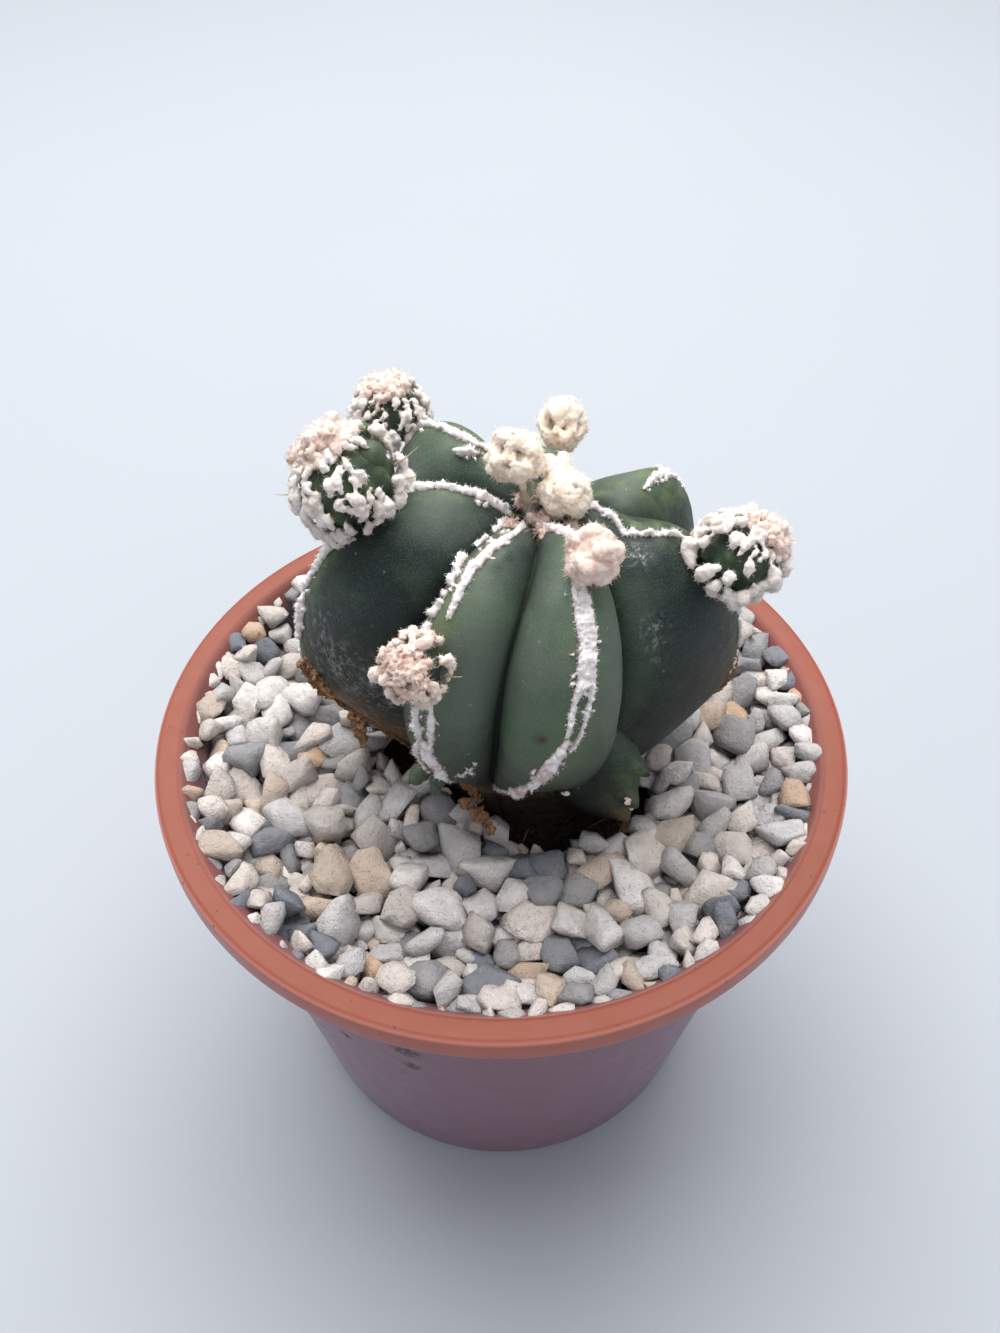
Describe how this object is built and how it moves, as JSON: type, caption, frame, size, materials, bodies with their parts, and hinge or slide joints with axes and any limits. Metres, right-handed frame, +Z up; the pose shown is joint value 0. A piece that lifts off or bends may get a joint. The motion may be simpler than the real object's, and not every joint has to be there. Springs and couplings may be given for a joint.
{
  "type": "potted ribbed cactus",
  "caption": "Ribbed bishop's cap cactus with felted ridges, woolly offsets and woolly buds, in a round tapered plastic pot topped with gravel.",
  "frame": {"origin": "middle of the pot's underside, at the height of its foot ring", "axes": "+Z up out of the pot; -Y towards the plant's front, the side with the bare hollow in the gravel; +X to the right seen from the front"},
  "size_m": [0.09, 0.09, 0.1116],
  "materials": {
    "pot_plastic": "smooth satin terracotta-coloured plastic",
    "soil": "dry crumbly potting soil",
    "gravel": "matt limestone chips, cream, grey and a few tan",
    "bark": "raw dry bark",
    "skin": "dark green plant skin with fine pale flecks and a soft sheen",
    "felt": "short white wool",
    "offset": "green heads covered in white wool tufts",
    "blush_wool": "pinkish brown wool",
    "bud_wool": "dense cream wool"
  },
  "bodies": {
    "root": {"pot": "pot_plastic", "soil": "soil", "gravel": "gravel", "bark_chip": "bark", "stem": "skin", "felt_left_upper": "felt", "felt_left_lower": "felt", "felt_front_left_outer": "felt", "felt_front_left_inner": "felt", "felt_front_left_lower": "felt", "felt_front_right_upper": "felt", "felt_front_right_lower": "felt", "felt_right_upper": "felt", "felt_right_lower": "felt", "felt_back_right": "felt", "felt_back": "felt", "felt_back_left": "felt", "offset_left": "offset", "offset_left_crown": "blush_wool", "offset_back_left": "offset", "offset_back_left_crown": "blush_wool", "offset_right": "offset", "offset_right_crown": "blush_wool", "offset_front": "offset", "offset_front_crown": "blush_wool", "bud_left": "bud_wool", "bud_back": "bud_wool", "bud_centre": "bud_wool", "bud_front": "bud_wool", "crown_wool": "blush_wool"}
  },
  "joints": []
}
